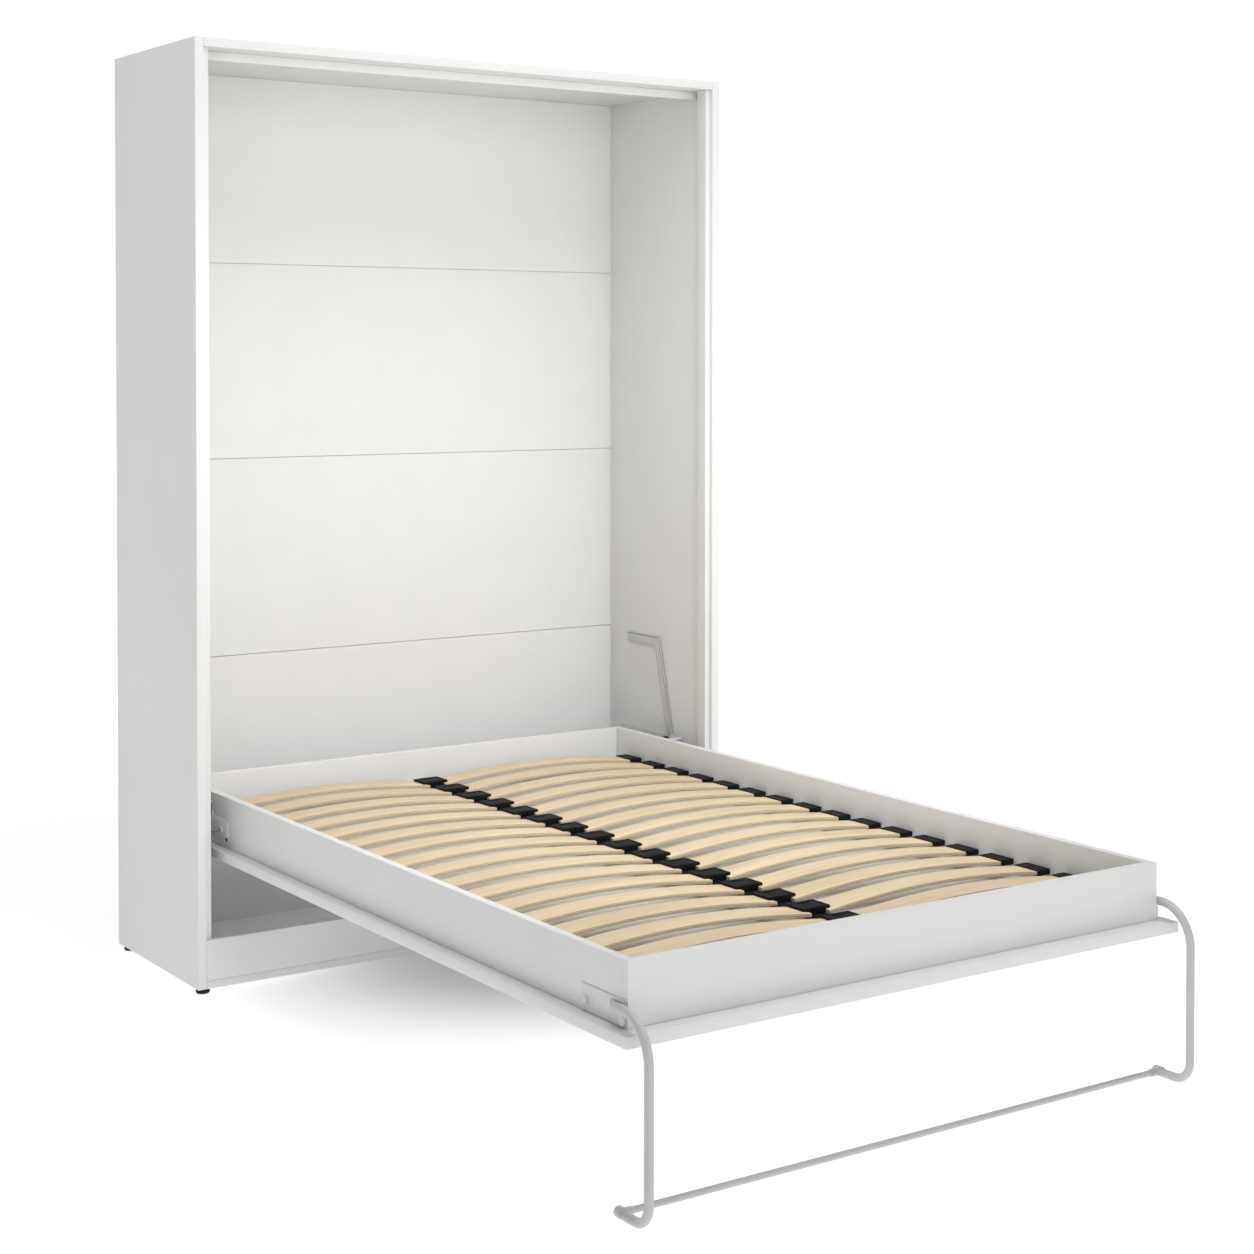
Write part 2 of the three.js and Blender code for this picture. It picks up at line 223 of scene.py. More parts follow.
def patternSpace(tree, stretch=(1, 1, 1), source="Object"):
    spot = addNode(tree, "ShaderNodeTexCoord", (-1400, 0))
    mapping = addNode(tree, "ShaderNodeMapping", (-1200, 0))
    mapping.inputs["Scale"].default_value = stretch
    tree.links.new(spot.outputs[source], mapping.inputs["Vector"])
    return mapping.outputs["Vector"]


def noise(tree, space, scale, detail=3.0, roughness=0.5):
    texture = addNode(tree, "ShaderNodeTexNoise", (-1000, 0))
    texture.inputs["Scale"].default_value = scale
    texture.inputs["Detail"].default_value = detail
    texture.inputs["Roughness"].default_value = roughness
    tree.links.new(space, texture.inputs["Vector"])
    return texture.outputs["Fac"]


def ramp(tree, value, stops):
    node = addNode(tree, "ShaderNodeValToRGB", (-700, 0))
    elements = node.color_ramp.elements
    while len(elements) < len(stops):
        elements.new(0.5)
    for element, (place, color) in zip(elements, stops):
        element.position = place
        element.color = (*color, 1)
    tree.links.new(value, node.inputs["Fac"])
    return node.outputs["Color"]


def spread(tree, value, low, high, start=0.3, end=0.7):
    node = addNode(tree, "ShaderNodeMapRange", (-500, -200))
    for key, number in (("From Min", start), ("From Max", end), ("To Min", low), ("To Max", high)):
        node.inputs[key].default_value = number
    tree.links.new(value, node.inputs["Value"])
    return node.outputs["Result"]


def mixColors(tree, first, second, amount, mode="MIX"):
    node = addNode(tree, "ShaderNodeMix", (-300, 100), data_type="RGBA", blend_type=mode)
    if isinstance(amount, float):
        node.inputs["Factor"].default_value = amount
    else:
        tree.links.new(amount, node.inputs["Factor"])
    tree.links.new(first, node.inputs["A"])
    if isinstance(second, tuple):
        node.inputs["B"].default_value = (*second, 1)
    else:
        tree.links.new(second, node.inputs["B"])
    return node.outputs["Result"]


def relief(tree, shader, height, depth, strength):
    node = addNode(tree, "ShaderNodeBump", (-300, -400))
    node.inputs["Strength"].default_value = strength
    node.inputs["Distance"].default_value = depth
    tree.links.new(height, node.inputs["Height"])
    tree.links.new(node.outputs["Normal"], shader.inputs["Normal"])


def makeMelamine(name, light, dark, gloss):
    # white laminate: a pearl grain about a millimetre across with faint clouding
    material, tree, shader = startMaterial(name, light, gloss, specular=0.4)
    space = patternSpace(tree)
    clouds = noise(tree, space, 9.0, 4.0)
    grain = noise(tree, space, 900.0, 2.0)
    base = ramp(tree, clouds, ((0.3, dark), (0.7, light)))
    speck = ramp(tree, grain, ((0.35, (0.965, 0.965, 0.965)), (0.6, (1, 1, 1))))
    tree.links.new(mixColors(tree, base, speck, 1.0, "MULTIPLY"), shader.inputs["Base Color"])
    tree.links.new(spread(tree, grain, gloss - 0.05, gloss + 0.06), shader.inputs["Roughness"])
    relief(tree, shader, grain, 0.00006, 0.35)
    return material


def makeBirchFace():
    # rotary birch veneer, grain along X
    material, tree, shader = startMaterial("birchFace", (0.7, 0.56, 0.38), 0.5, specular=0.35)
    space = patternSpace(tree, (1.6, 34.0, 34.0), "UV")
    figure = noise(tree, space, 2.2, 5.0, 0.6)
    fine = noise(tree, patternSpace(tree, (9.0, 520.0, 520.0), "UV"), 1.6, 2.0)
    tone = noise(tree, patternSpace(tree, (1.0, 7.0, 7.0)), 1.1, 1.0)
    base = ramp(tree, figure, (
        (0.26, (0.60, 0.462, 0.285)), (0.45, (0.70, 0.565, 0.385)), (0.7, (0.765, 0.64, 0.465))))
    streaks = ramp(tree, fine, ((0.3, (0.86, 0.82, 0.75)), (0.52, (1, 1, 1))))
    slow = ramp(tree, tone, ((0.35, (0.93, 0.915, 0.89)), (0.65, (1, 1, 1))))
    grained = mixColors(tree, base, streaks, 0.8, "MULTIPLY")
    tree.links.new(mixColors(tree, grained, slow, 1.0, "MULTIPLY"), shader.inputs["Base Color"])
    tree.links.new(spread(tree, figure, 0.42, 0.56), shader.inputs["Roughness"])
    relief(tree, shader, fine, 0.00008, 0.4)
    return material


def makeBirchPlies():
    # the cut edge of the bent laminate: veneers and dark glue lines
    material, tree, shader = startMaterial("birchPlies", (0.52, 0.39, 0.23), 0.6, specular=0.3)
    wave = addNode(tree, "ShaderNodeTexWave", (-1000, 0), wave_type="BANDS", bands_direction="Y")
    wave.inputs["Scale"].default_value = 95.0
    wave.inputs["Distortion"].default_value = 0.6
    wave.inputs["Detail"].default_value = 2.0
    wave.inputs["Detail Scale"].default_value = 2.0
    tree.links.new(patternSpace(tree, (0.35, 1, 1), "UV"), wave.inputs["Vector"])
    fibre = noise(tree, patternSpace(tree, (14.0, 900.0, 900.0), "UV"), 1.4, 2.0)
    plies = ramp(tree, wave.outputs["Fac"], (
        (0.08, (0.50, 0.385, 0.235)), (0.3, (0.70, 0.57, 0.38)), (0.9, (0.77, 0.645, 0.455))))
    streaks = ramp(tree, fibre, ((0.3, (0.84, 0.8, 0.74)), (0.6, (1, 1, 1))))
    tree.links.new(mixColors(tree, plies, streaks, 1.0, "MULTIPLY"), shader.inputs["Base Color"])
    relief(tree, shader, fibre, 0.0001, 0.5)
    return material


def makeMoulded(name, color, gloss, bumpScale):
    # moulded plastic or rubber with a spark-eroded skin
    material, tree, shader = startMaterial(name, color, gloss, specular=0.12)
    space = patternSpace(tree)
    skin = noise(tree, space, bumpScale, 3.0)
    worn = noise(tree, space, 40.0, 3.0)
    lifted = tuple(c * 1.5 + 0.001 for c in color)
    tree.links.new(ramp(tree, worn, ((0.4, color), (0.85, lifted))), shader.inputs["Base Color"])
    tree.links.new(spread(tree, skin, gloss - 0.08, gloss + 0.1), shader.inputs["Roughness"])
    relief(tree, shader, skin, 0.00008, 0.5)
    return material


def makePowderCoat(name, color, gloss):
    # powder coat with a slight orange peel
    material, tree, shader = startMaterial(name, color, gloss, specular=0.5)
    space = patternSpace(tree)
    peel = noise(tree, space, 420.0, 2.0)
    shade = noise(tree, space, 26.0, 3.0)
    darker = tuple(c * 0.95 for c in color)
    tree.links.new(ramp(tree, shade, ((0.3, darker), (0.7, color))), shader.inputs["Base Color"])
    tree.links.new(spread(tree, peel, gloss - 0.04, gloss + 0.07), shader.inputs["Roughness"])
    relief(tree, shader, peel, 0.00008, 0.3)
    return material


def makeBrightMetal(name, color, gloss, scratch):
    # zinc or chrome, with hairline wear
    material, tree, shader = startMaterial(name, color, gloss, metallic=1.0)
    hair = noise(tree, patternSpace(tree, (40.0, 700.0, 700.0)), 1.5, 3.0)
    stain = noise(tree, patternSpace(tree), 70.0, 3.0)
    darker = tuple(c * 0.85 for c in color)
    tree.links.new(ramp(tree, stain, ((0.35, darker), (0.65, color))), shader.inputs["Base Color"])
    tree.links.new(spread(tree, hair, gloss, gloss + scratch), shader.inputs["Roughness"])
    relief(tree, shader, hair, 0.00002, 0.25)
    return material


boardFace = makeMelamine("boardFace", (0.80, 0.80, 0.795), (0.785, 0.785, 0.78), 0.42)
boardEdge = makeMelamine("boardEdge", (0.79, 0.79, 0.785), (0.775, 0.775, 0.77), 0.36)
backFace = makeMelamine("backFace", (0.80, 0.80, 0.795), (0.78, 0.78, 0.775), 0.5)
birchFace = makeBirchFace()
birchPlies = makeBirchPlies()
holderBlack = makeMoulded("holderBlack", (0.006, 0.006, 0.0065), 0.58, 700.0)
footBlack = makeMoulded("footBlack", (0.016, 0.016, 0.017), 0.5, 500.0)
bufferRubber = makeMoulded("bufferRubber", (0.006, 0.006, 0.006), 0.75, 300.0)
whiteCoat = makePowderCoat("whiteCoat", (0.74, 0.74, 0.735), 0.38)
legCoat = makePowderCoat("legCoat", (0.56, 0.56, 0.56), 0.36)
bandCoat = makePowderCoat("bandCoat", (0.62, 0.62, 0.62), 0.42)
# dark grey painted shade: the shadow line on the raised bands, and the pivot pins sunk into the
# shade around them
paintedShadeCoat = makePowderCoat("paintedShadeCoat", (0.26, 0.26, 0.26), 0.5)
blackCoat = makePowderCoat("blackCoat", (0.02, 0.02, 0.021), 0.35)
springChrome = makeBrightMetal("springChrome", (0.78, 0.79, 0.81), 0.08, 0.1)
zincSteel = makeBrightMetal("zincSteel", (0.62, 0.62, 0.63), 0.26, 0.16)
print("finishes mixed")


# shape helpers

meshing = {
    "weld": 0.000004,
    "solidWeld": 0.00001,
    "flatAngle": 0.4,        # degrees: less than this is one flat face
    "crispAngle": 38.0,      # degrees: more than this is an edge to round
    "rimAngle": 1.0,         # radians, for the rims of new bars and sleeves
    "disc": 0.0004,          # the first slice of a turned head
}


def plainMesh(bm, name):
    bmesh.ops.recalc_face_normals(bm, faces=bm.faces)
    mesh = bpy.data.meshes.new(name)
    bm.to_mesh(mesh)
    bm.free()
    return mesh


def toMesh(bm, name, smoothAngle=34.0):
    bmesh.ops.remove_doubles(bm, verts=bm.verts, dist=meshing["weld"])
    mesh = plainMesh(bm, name)
    mesh.polygons.foreach_set("use_smooth", [True] * len(mesh.polygons))
    mesh.set_sharp_from_angle(angle=math.radians(smoothAngle))
    return mesh


def fit(name, mesh, materials, body, nodes=()):
    for material in materials:
        mesh.materials.append(material)
    piece = bpy.data.objects.new(name, mesh)
    scene.collection.objects.link(piece)
    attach(piece, body)
    if nodes:
        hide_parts(*nodes)
    return piece


def camel(node):
    words = node.split("_")
    return words[0] + "".join(word.capitalize() for word in words[1:])


def block(bm, low, high):
    made = bmesh.ops.create_cube(bm, size=1)["verts"]
    bmesh.ops.scale(bm, vec=Vector(high) - Vector(low), verts=made)
    bmesh.ops.translate(bm, vec=(Vector(high) + Vector(low)) / 2, verts=made)
    return made


def roundEdges(bm, edges, width, segments=2):
    bmesh.ops.bevel(bm, geom=list(edges), offset=width, offset_type="OFFSET", segments=segments,
                    profile=0.5, affect="EDGES", clamp_overlap=True, material=-1)


def edgesOf(verts):
    return {edge for vert in verts for edge in vert.link_edges}


def sharpEdges(bm, angle):
    return [e for e in bm.edges if len(e.link_faces) == 2 and e.calc_face_angle(0) > angle]


def vertsIn(geom):
    return [g for g in geom if isinstance(g, bmesh.types.BMVert)]


def edgesIn(geom):
    return [g for g in geom if isinstance(g, bmesh.types.BMEdge)]


def addShape(bm, mesh, matrix):
    before = len(bm.verts)
    bm.from_mesh(mesh)
    bm.verts.ensure_lookup_table()
    bmesh.ops.transform(bm, matrix=matrix, verts=bm.verts[before:])


def facing(direction):
    return Vector(direction).to_track_quat("Z", "Y").to_matrix().to_4x4()


def turnedShape(name, radius, steps, segments=20):
    # a round head: a disc whose top face is inset and raised step by step
    bm = bmesh.new()
    thick = meshing["disc"]
    bmesh.ops.create_cone(bm, cap_ends=True, segments=segments, radius1=radius, radius2=radius,
                          depth=thick)
    bmesh.ops.translate(bm, vec=(0, 0, thick / 2), verts=bm.verts)
    top = max(bm.faces, key=lambda face: face.calc_center_median().z)
    for inset, rise in steps:
        bmesh.ops.inset_individual(bm, faces=[top], thickness=inset, depth=rise,
                                   use_even_offset=True)
    return plainMesh(bm, name)


# boards

boards = {
    "edgeRadius": 0.0011,
    "backEdge": 0.0005,
    "cabinet": ("side_panel_left", "side_panel_right", "top_panel", "bottom_panel", "plinth_board",
                "stop_batten_left", "stop_batten_right", "stop_strip_top"),
    "bed": ("door_panel", "footboard", "side_rail_left", "side_rail_right", "headboard",
            "slat_ledge_left", "slat_ledge_right", "centre_beam"),
}


def makeBoard(node, body):
    low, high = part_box(node)
    size = high - low
    thin = min(range(3), key=lambda axis: size[axis])
    bm = bmesh.new()
    block(bm, low, high)
    for face in bm.faces:
        face.material_index = 0 if abs(face.normal[thin]) > 0.5 else 1
    roundEdges(bm, bm.edges, boards["edgeRadius"], 3)
    fit(camel(node), toMesh(bm, node), (boardFace, boardEdge), body, (node,))


for body in ("cabinet", "bed"):
    for node in boards[body]:
        makeBoard(node, body)


def refined(node, width, segments=2):
    # the node's own solid, merged, with its flats made whole and its edges rounded
    bm = bmesh.new()
    bm.from_mesh(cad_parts[node].data)
    bmesh.ops.remove_doubles(bm, verts=bm.verts, dist=meshing["solidWeld"])
    bmesh.ops.dissolve_limit(bm, angle_limit=math.radians(meshing["flatAngle"]), verts=bm.verts,
                             edges=bm.edges, delimit={"NORMAL"})
    if width:
        crisp = sharpEdges(bm, math.radians(meshing["crispAngle"]))
        roundEdges(bm, crisp, width, segments)
    return bm


for number in range(1, 5):
    node = f"back_board_{number}"
    bm = refined(node, boards["backEdge"], 1)
    fit(camel(node), toMesh(bm, node), (backFace,), "cabinet", (node,))
print("boards cut")


# small hardware shapes

hardware = {
    # radius, then how far each step goes in and up
    "panHead": (0.0042, (
        (0.0, 0.0010), (0.0007, 0.0008), (0.0011, 0.0004), (0.0009, 0.0), (0.0, -0.0012))),
    "boltHead": (0.0078, (
        (0.0, 0.0030), (0.0008, 0.0016), (0.0014, 0.0012), (0.0018, 0.0006), (0.0012, 0.0))),
    "backScrew": (0.0032, ((0.0, 0.0003), (0.0006, 0.0003), (0.0011, 0.0), (0.0, -0.0005))),
}
backScrews = {
    "fromEdge": 0.012,
    "underSeam": 0.022,
    "fromSide": 0.03,
    "across": 7,
    "first": 0.18,
    "pitch": 0.19,
    "rows": 11,
}
panHead = turnedShape("panHead", *hardware["panHead"])
boltHead = turnedShape("boltHead", *hardware["boltHead"], 28)
backScrew = turnedShape("backScrew", *hardware["backScrew"], 12)


def scatter(name, shape, places, direction, material, body):
    bm = bmesh.new()
    for place in places:
        addShape(bm, shape, Matrix.Translation(place) @ facing(direction))
    return fit(name, toMesh(bm, name), (material,), body)


def makeBackScrews():
    low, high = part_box("back_board_1")
    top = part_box("back_board_4")[1].z
    seams = [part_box(f"back_board_{n}")[1].z for n in (1, 2, 3)]
    rear, edge = high.y, backScrews["fromEdge"]
    start = low.x + backScrews["fromSide"]
    run = high.x - low.x - 2 * backScrews["fromSide"]
    lines = [low.z + edge] + [seam - backScrews["underSeam"] for seam in seams] + [top - edge]
    places = []
    for z in lines:
        for step in range(backScrews["across"]):
            places.append((start + run * step / (backScrews["across"] - 1), rear, z))
    for step in range(backScrews["rows"]):
        z = low.z + backScrews["first"] + backScrews["pitch"] * step
        for x in (low.x + edge, high.x - edge):
            places.append((x, rear, z))
    scatter("backScrews", backScrew, places, (0, 1, 0), zincSteel, "cabinet")


makeBackScrews()


# fold mechanism

mechanism = {
    "plateThick": 0.003,
    "plateEdge": 0.0006,
    "hingeThick": 0.004,
    "hingeEdge": 0.0008,
    "pinEdge": 0.0005,
    "bufferEdge": 0.0006,
    "bareFrom": 0.014,         # short of the buffer's middle: its long stud is bare
    "webScrews": ((0.030, 0.012), (0.125, 0.012), (0.270, 0.012), (0.385, 0.012),
                  (0.372, 0.110), (0.240, 0.110), (0.300, 0.060)),
    "bandProud": 0.006,
    # the path along the band's edge where a dark grey strip is laid as painted shadow, then that
    # strip's width and how far it stands off the band
    "bandLine": ((0.132, 0.130), (0.1975, 0.3850), (0.354, 0.3850)),
    "trim": 0.0026,
    "shadowLineProud": 0.0006,
    "hingeScrews": ((0.080, 0.0065), (0.150, 0.0065)),
    "cornerScrew": (0.0045, 0.0045),
    "pad": ((0.092, 0.053), (0.126, 0.0755), 0.0075),   # rubber facing under the buffer
    "padGap": 0.0001,
    "padEdge": 0.001,
}


def makeBandShadowLine(name, side, wall, low):
    # a dark grey strip along the edge of the raised band: painted shadow standing in for the shade
    # line in the gap there
    bm = bmesh.new()
    bandFace = wall - side * mechanism["bandProud"]
    path = [(low.y + y, low.z + z) for y, z in mechanism["bandLine"]]
    for (y0, z0), (y1, z1) in zip(path, path[1:]):
        run = Vector((0, y1 - y0, z1 - z0))
        inner = Vector((0, run.z, -run.y)).normalized() * mechanism["trim"]
        start, end = Vector((bandFace, y0, z0)), Vector((bandFace, y1, z1))
        quad = [bm.verts.new(c) for c in (start, end, end + inner, start + inner)]
        grown = bmesh.ops.extrude_face_region(bm, geom=[bm.faces.new(quad)])["geom"]
        bmesh.ops.translate(bm, vec=(-side * mechanism["shadowLineProud"], 0, 0), verts=vertsIn(grown))
    fit(f"bandShadowLine{name.capitalize()}", toMesh(bm, "bandShadowLine"), (paintedShadeCoat,), "cabinet")


def makeMechanism():
    for name, side in sides:
        out = (-side, 0, 0)
        node = f"mech_plate_{name}"
        bm = refined(node, mechanism["plateEdge"], 2)
        fit(camel(node), toMesh(bm, node), (bandCoat,), "cabinet", (node,))
        low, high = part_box(node)
        wall = high.x if side > 0 else low.x
        face = wall - side * mechanism["plateThick"]
        places = [(face, low.y + y, low.z + z) for y, z in mechanism["webScrews"]]
        scatter(f"mechScrews{name.capitalize()}", panHead, places, out, zincSteel, "cabinet")
        makeBandShadowLine(name, side, wall, low)

        node = f"hinge_plate_{name}"
        bm = refined(node, mechanism["hingeEdge"], 2)
        fit(camel(node), toMesh(bm, node), (whiteCoat,), "bed", (node,))
        low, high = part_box(node)
        inner = low.x if side > 0 else high.x
        face = inner + side * mechanism["hingeThick"]
        places = [(face, low.y + y, low.z + z) for y, z in mechanism["hingeScrews"]]
        scatter(f"hingeScrews{name.capitalize()}", panHead, places, (side, 0, 0), zincSteel, "bed")

        y, z = mechanism["cornerScrew"]
        scatter(f"hingeCornerScrew{name.capitalize()}", panHead, [(face, low.y + y, low.z + z)],
                (side, 0, 0), blackCoat, "bed")
        (y0, z0), (y1, z1), proud = mechanism["pad"]
        xs = sorted((face + side * mechanism["padGap"], face + side * proud))
        bm = bmesh.new()
        block(bm, (xs[0], low.y + y0, low.z + z0), (xs[1], low.y + y1, low.z + z1))
        roundEdges(bm, bm.edges, mechanism["padEdge"], 2)
        fit(f"bufferPad{name.capitalize()}", toMesh(bm, "bufferPad"), (bufferRubber,), "bed")

        # the pivot pin is coloured dark grey as painted shade, so it sinks into the shaded plate
        # around it
        node = f"pivot_pin_{name}"
        fit(camel(node), toMesh(refined(node, mechanism["pinEdge"]), node), (paintedShadeCoat,),
            "cabinet", (node,))
        node = f"stop_buffer_{name}"
        bm = refined(node, mechanism["bufferEdge"])
        middle = (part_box(node)[0].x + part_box(node)[1].x) / 2
        for face in bm.faces:
            if abs(face.calc_center_median().x) > abs(middle) - mechanism["bareFrom"]:
                face.material_index = 1
        fit(camel(node), toMesh(bm, node), (bufferRubber, bandCoat), "cabinet",
            (node,))
        node = f"gas_cylinder_{name}"
        fit(camel(node), toMesh(refined(node, 0.0), node), (blackCoat,), node,
            (node,))
        node = f"gas_rod_{name}"
        fit(camel(node), toMesh(refined(node, 0.0), node), (springChrome,), node,
            (node,))


def makeFeet():
    for row in ("front", "back"):
        for name, side in sides:
            node = f"glide_foot_{row}_{name}"
            fit(camel(node), toMesh(refined(node, 0.0006), node), (footBlack,), "cabinet",
                (node,))


makeMechanism()
makeFeet()
print("mechanism and feet fitted")


# slats and their holders

slat = {
    "innerEnd": 0.034,        # measured from the bed's middle
    "outerEnd": 0.576,
    "thick": 0.008,
    "crown": 0.018,
    "under": 0.0100,          # above the ledge
    "edge": 0.0018,
    "inCentre": 0.012,        # how far the ends reach into the holders
    "inSide": 0.016,
    "cuts": 14,
    "grainStep": 0.37,        # each slat takes its grain from another place
    "grainSide": 0.19,
}
holder = {
    "capEnd": 0.611,          # measured from the bed's middle
    "sideLength": 0.073,
    "sideTop": 0.0205,
    "sideUnder": 0.0080,
    "centreHalf": 0.034,
    "centreLength": 0.058,
    "centreBack": 0.008,      # how far behind the slat's middle the holder sits
    "centreTop": 0.0235,
    "round": 0.0016,
    "linkHalf": 0.021,
    "linkTop": 0.0100,
    "linkGap": 0.0002,
    "linkEdge": 0.001,
    "lift": 0.0003,           # above the ledge
    "mouthWall": 0.0012,
    "sideLid": (0.004, 0.0005, 0.0006),      # border, slope and depth of the sunk lid
    "centreLid": (0.005, 0.0006, 0.0008),
    "sidePegs": (0.021, 0.0055, 0.0065),     # place, then lower and upper radius
    "centrePegs": (0.017, 0.022, 0.005, 0.006),
    "rib": (0.014, 0.013, 0.018),            # half width, start and end
    "ribRise": (-0.001, 0.0006),
    "ribEdge": 0.0008,
}
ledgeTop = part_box("slat_ledge_left")[1].z
rowBoxes = [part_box(f"slat_row_{number:02d}") for number in range(1, 18)]
innerEnd, outerEnd = slat["innerEnd"], slat["outerEnd"]


def bow(x):
    t = (abs(x) - innerEnd) / (outerEnd - innerEnd)
    return slat["crown"] * 4 * t * (1 - t)


def makeSlat(number, rowLow, rowHigh, name, side):
    start = innerEnd - slat["inCentre"]
    end = outerEnd + slat["inSide"]
    bm = bmesh.new()
    block(bm, (start, rowLow.y, 0), (end, rowHigh.y, slat["thick"]))
    long = [e for e in bm.edges if abs((e.verts[0].co - e.verts[1].co).x) > 0.1]
    roundEdges(bm, long, slat["edge"], 2)
    for step in range(1, slat["cuts"]):
        x = start + (end - start) * step / slat["cuts"]
        bmesh.ops.bisect_plane(bm, geom=bm.verts[:] + bm.edges[:] + bm.faces[:],
                               plane_co=(x, 0, 0), plane_no=(1, 0, 0))
    layer = bm.loops.layers.uv.new("grain")
    shift = number * slat["grainStep"] + (slat["grainSide"] if side > 0 else 0.0)
    for face in bm.faces:
        flat = abs(face.normal.z) > 0.5
        face.material_index = 0 if flat else 1
        for loop in face.loops:
            x, y, z = loop.vert.co
            loop[layer].uv = (x + shift, y if flat else z)
    for vert in bm.verts:
        vert.co.z += ledgeTop + slat["under"] + bow(vert.co.x)
        vert.co.x *= side
    piece = f"slat{name.capitalize()}{number:02d}"
    fit(piece, toMesh(bm, piece, 30), (birchFace, birchPlies), "bed",
        (f"slat_row_{number:02d}",))


def addPeg(bm, x, y, lower, upper):
    peg = bmesh.ops.create_cone(bm, cap_ends=True, segments=12, radius1=lower, radius2=upper,
                                depth=holder["sideUnder"])["verts"]
    bmesh.ops.translate(bm, vec=(x, y, holder["sideUnder"] / 2 + holder["lift"]), verts=peg)


def sinkLid(bm, border, slope, depth):
    lid = max(bm.faces, key=lambda f: f.calc_center_median().z)
    bmesh.ops.inset_individual(bm, faces=[lid], thickness=border, depth=0.0, use_even_offset=True)
    bmesh.ops.inset_individual(bm, faces=[lid], thickness=slope, depth=-depth,
                               use_even_offset=True)


def sideHolderShape():
    # seen along +X, at the origin: a cap with a mouth for the slat end and two pegs
    bm = bmesh.new()
    half = holder["sideLength"] / 2
    depth = holder["capEnd"] - outerEnd
    body = block(bm, (0, -half, holder["sideUnder"]), (depth, half, holder["sideTop"]))
    mouth = min(bm.faces, key=lambda f: f.calc_center_median().x)
    roundEdges(bm, [e for e in edgesOf(body) if mouth not in e.link_faces], holder["round"], 2)
    mouth = min(bm.faces, key=lambda f: f.calc_center_median().x)
    bmesh.ops.inset_individual(bm, faces=[mouth], thickness=holder["mouthWall"], depth=0.0)
    sinkLid(bm, *holder["sideLid"])
    aside, lower, upper = holder["sidePegs"]
    for y in (-aside, aside):
        addPeg(bm, depth / 2, y, lower, upper)
    return plainMesh(bm, "sideHolderShape")


def centreHolderShape():
    bm = bmesh.new()
    half = holder["centreLength"] / 2
    reach = holder["centreHalf"]
    block(bm, (-reach, -half, holder["sideUnder"]), (reach, half, holder["centreTop"]))
    roundEdges(bm, bm.edges, holder["round"], 2)
    sinkLid(bm, *holder["centreLid"])
    ribHalf, ribStart, ribEnd = holder["rib"]
    ribFoot, ribTop = (holder["centreTop"] + rise for rise in holder["ribRise"])
    rib = block(bm, (-ribHalf, ribStart, ribFoot), (ribHalf, ribEnd, ribTop))
    roundEdges(bm, edgesOf(rib), holder["ribEdge"], 2)
    across, along, lower, upper = holder["centrePegs"]
    for x in (-across, across):
        for y in (-along, along):
            addPeg(bm, x, y, lower, upper)
    return plainMesh(bm, "centreHolderShape")


def makeSlatsAndHolders():
    sideShape, centreShape = sideHolderShape(), centreHolderShape()
    for number, (rowLow, rowHigh) in enumerate(rowBoxes, start=1):
        middle = (rowLow.y + rowHigh.y) / 2
        for name, side in sides:
            makeSlat(number, rowLow, rowHigh, name, side)
            bm = bmesh.new()
            addShape(bm, sideShape, Matrix.Translation((outerEnd, middle, ledgeTop)))
            bmesh.ops.scale(bm, vec=(side, 1, 1), verts=bm.verts)
            piece = f"sideHolder{name.capitalize()}{number:02d}"
            fit(piece, toMesh(bm, piece), (holderBlack,), "bed")
        bm = bmesh.new()
        addShape(bm, centreShape, Matrix.Translation((0, middle + holder["centreBack"], ledgeTop)))
        piece = f"centreHolder{number:02d}"
        fit(piece, toMesh(bm, piece), (holderBlack,), "bed")
        if number < len(rowBoxes):
            nextMiddle = (rowBoxes[number][0].y + rowBoxes[number][1].y) / 2
            half = holder["centreLength"] / 2 - holder["linkGap"]
            back = holder["centreBack"]
            bm = bmesh.new()
            block(bm, (-holder["linkHalf"], nextMiddle + back + half, ledgeTop + holder["lift"]),
                  (holder["linkHalf"], middle + back - half, ledgeTop + holder["linkTop"]))
            roundEdges(bm, bm.edges, holder["linkEdge"], 2)
            piece = f"holderLink{number:02d}"
            fit(piece, toMesh(bm, piece), (holderBlack,), "bed")


makeSlatsAndHolders()
print("slats laid")


# folding leg

legShape = {
    "radius": 0.0085,
    "upperBend": 0.080,
    "lowerBend": 0.040,
    "ring": 28,
    "bendSteps": 14,
    "squeeze": ((0.005, 0.84, 0.98), (0.005, 0.46, 0.92), (0.004, 0.27, 0.86), (0.003, 0.26, 0.80),
                (0.002, 0.25, 0.64), (0.0015, 0.24, 0.36)),
    "lugAside": 0.0047,
    "flatRun": 0.030,         # from the upper bend to the flattened end
    "stubReach": 0.010,       # past the front of the crossbar
    "sleeve": 0.017,
    "sleeveRadius": 0.0098,
    "sleeveOver": 0.004,      # past the end of the stub
    "sleeveEdge": 0.0010,
    "collar": 0.003,
    "collarGap": 0.001,
    "boss": (0.0078, 0.014, 0.013),    # radius, length and how far towards the bed's middle
    "barEdge": 0.0008,
}


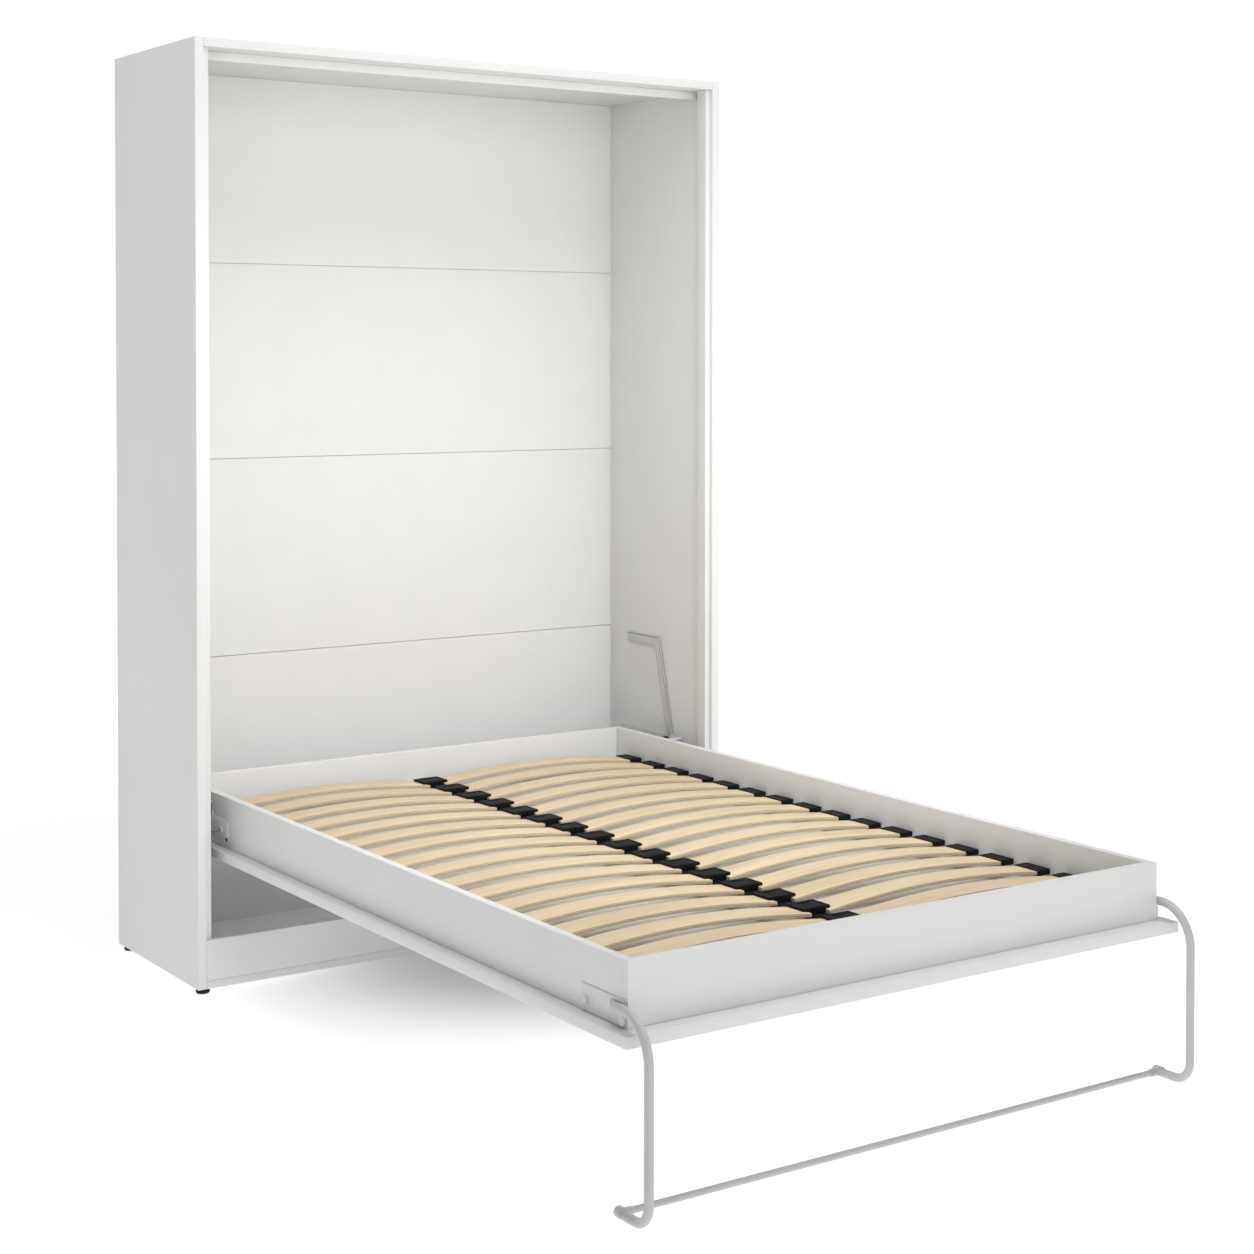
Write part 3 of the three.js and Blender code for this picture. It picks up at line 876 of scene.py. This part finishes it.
def makeLegTube(name, side):
    low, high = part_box(f"leg_tube_{name}")
    radius = legShape["radius"]
    x, topZ = (high.x - radius if side > 0 else low.x + radius), high.z - radius
    frontY, bottomZ = low.y + radius, low.z + radius
    startY = frontY + legShape["upperBend"] + legShape["flatRun"]
    bm = bmesh.new()
    ring = bmesh.ops.create_circle(bm, cap_ends=False, radius=radius, segments=legShape["ring"])
    bmesh.ops.rotate(bm, verts=bm.verts, matrix=Matrix.Rotation(math.pi / 2, 3, "X"))
    bmesh.ops.translate(bm, vec=(x, startY, topZ), verts=bm.verts)
    first = bm.edges[:]

    # flattened end towards the pivot
    edge = first
    centre = Vector((x, startY, topZ))
    wide, tall = 1.0, 1.0
    for run, newWide, newTall in legShape["squeeze"]:
        grown = bmesh.ops.extrude_edge_only(bm, edges=edge)["geom"]
        verts, edge = vertsIn(grown), edgesIn(grown)
        space = Matrix.Translation(-centre)
        bmesh.ops.scale(bm, vec=(newWide / wide, 1, newTall / tall), verts=verts, space=space)
        aside = -side * legShape["lugAside"] * (wide - newWide) / (1 - legShape["squeeze"][-1][1])
        bmesh.ops.translate(bm, vec=(aside, run, 0), verts=verts)
        centre += Vector((aside, run, 0))
        wide, tall = newWide, newTall
    bmesh.ops.contextual_create(bm, geom=edge)

    # straight, bend, upright, bend, stub
    def straight(edges, step):
        grown = bmesh.ops.extrude_edge_only(bm, edges=edges)["geom"]
        bmesh.ops.translate(bm, vec=step, verts=vertsIn(grown))
        return edgesIn(grown)

    def turn(edges, centre):
        spun = bmesh.ops.spin(bm, geom=edges, cent=centre, axis=(1, 0, 0), angle=math.pi / 2,
                              steps=legShape["bendSteps"], use_merge=False)["geom_last"]
        return edgesIn(spun)

    bendY = frontY + legShape["upperBend"]
    edge = straight(first, (0, bendY - startY, 0))
    edge = turn(edge, (x, bendY, topZ - legShape["upperBend"]))
    lowerZ = bottomZ + legShape["lowerBend"]
    edge = straight(edge, (0, 0, lowerZ - (topZ - legShape["upperBend"])))
    edge = turn(edge, (x, frontY + legShape["lowerBend"], lowerZ))
    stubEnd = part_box("leg_crossbar")[0].y + legShape["stubReach"]
    edge = straight(edge, (0, stubEnd - (frontY + legShape["lowerBend"]), 0))
    bmesh.ops.contextual_create(bm, geom=edge)
    node = f"leg_tube_{name}"
    fit(camel(node), toMesh(bm, node), (legCoat,), "leg", (node,))
    return stubEnd, abs(x)


def makeCrossbar(stubEnd, upright):
    low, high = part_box("leg_crossbar")
    y, z = (low.y + high.y) / 2, (low.z + high.z) / 2
    radius = (high.z - low.z) / 2
    bm = bmesh.new()
    bmesh.ops.create_cone(bm, cap_ends=True, segments=32, radius1=radius, radius2=radius,
                          depth=high.x - low.x)
    bmesh.ops.rotate(bm, verts=bm.verts, matrix=Matrix.Rotation(math.pi / 2, 3, "Y"))
    bmesh.ops.translate(bm, vec=(0, y, z), verts=bm.verts)
    roundEdges(bm, sharpEdges(bm, meshing["rimAngle"]), legShape["barEdge"], 2)
    fit("legCrossbar", toMesh(bm, "legCrossbar"), (legCoat,), "leg",
        ("leg_crossbar",))

    # end sleeve and collar round each stub, with the boss that takes the bar
    sleeve, collar = legShape["sleeve"], legShape["collar"]
    front = stubEnd + legShape["sleeveOver"] - sleeve
    wide = legShape["sleeveRadius"]
    bossRadius, bossLength, bossIn = legShape["boss"]
    for name, side in sides:
        centreX = upright * side
        bm = bmesh.new()
        for start, length in ((front, sleeve), (front - legShape["collarGap"] - collar, collar)):
            made = bmesh.ops.create_cone(bm, cap_ends=True, segments=28, radius1=wide,
                                         radius2=wide, depth=length)["verts"]
            bmesh.ops.rotate(bm, verts=made, matrix=Matrix.Rotation(math.pi / 2, 3, "X"))
            bmesh.ops.translate(bm, vec=(centreX, start + length / 2, wide), verts=made)
        roundEdges(bm, sharpEdges(bm, meshing["rimAngle"]), legShape["sleeveEdge"], 3)
        boss = bmesh.ops.create_cone(bm, cap_ends=True, segments=24, radius1=bossRadius,
                                     radius2=bossRadius, depth=bossLength)["verts"]
        bmesh.ops.rotate(bm, verts=boss, matrix=Matrix.Rotation(math.pi / 2, 3, "Y"))
        bmesh.ops.translate(bm, vec=(centreX - side * bossIn, y, z), verts=boss)
        fit(f"legSleeve{name.capitalize()}", toMesh(bm, "legSleeve"), (legCoat,), "leg")


bracket = {
    "edge": 0.0007,
    "rivet": (0.014, 0.0195),        # from the front of the plate and its foot
    "stop": ((0.002, 0.004), (0.011, 0.0255), 0.0075),    # corners, and how far it stands out
    "stopEdge": 0.0022,
    "boltEdge": 0.0009,
}


def makeBrackets():
    for name, side in sides:
        node = f"leg_bracket_{name}"
        low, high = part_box(node)
        bm = refined(node, bracket["edge"], 2)
        fit(camel(node), toMesh(bm, node), (whiteCoat,), "bed", (node,))
        face = high.x if side > 0 else low.x
        places = [(face, high.y - bracket["rivet"][0], low.z + bracket["rivet"][1])]
        scatter(f"bracketBolt{name.capitalize()}", boltHead, places, (side, 0, 0), whiteCoat,
                "bed")
        (y0, z0), (y1, z1), proud = bracket["stop"]
        bm = bmesh.new()
        xs = sorted((face, face + side * proud))
        block(bm, (xs[0], low.y + y0, low.z + z0), (xs[1], low.y + y1, low.z + z1))
        roundEdges(bm, bm.edges, bracket["stopEdge"], 3)
        fit(f"legStop{name.capitalize()}", toMesh(bm, "legStop"), (whiteCoat,), "bed")
        node = f"leg_bolt_{name}"
        bm = refined(node, bracket["boltEdge"], 2)
        fit(camel(node), toMesh(bm, node), (zincSteel,), "bed", (node,))


for name, side in sides:
    stubEnd, upright = makeLegTube(name, side)
makeCrossbar(stubEnd, upright)
makeBrackets()
print("leg bent")
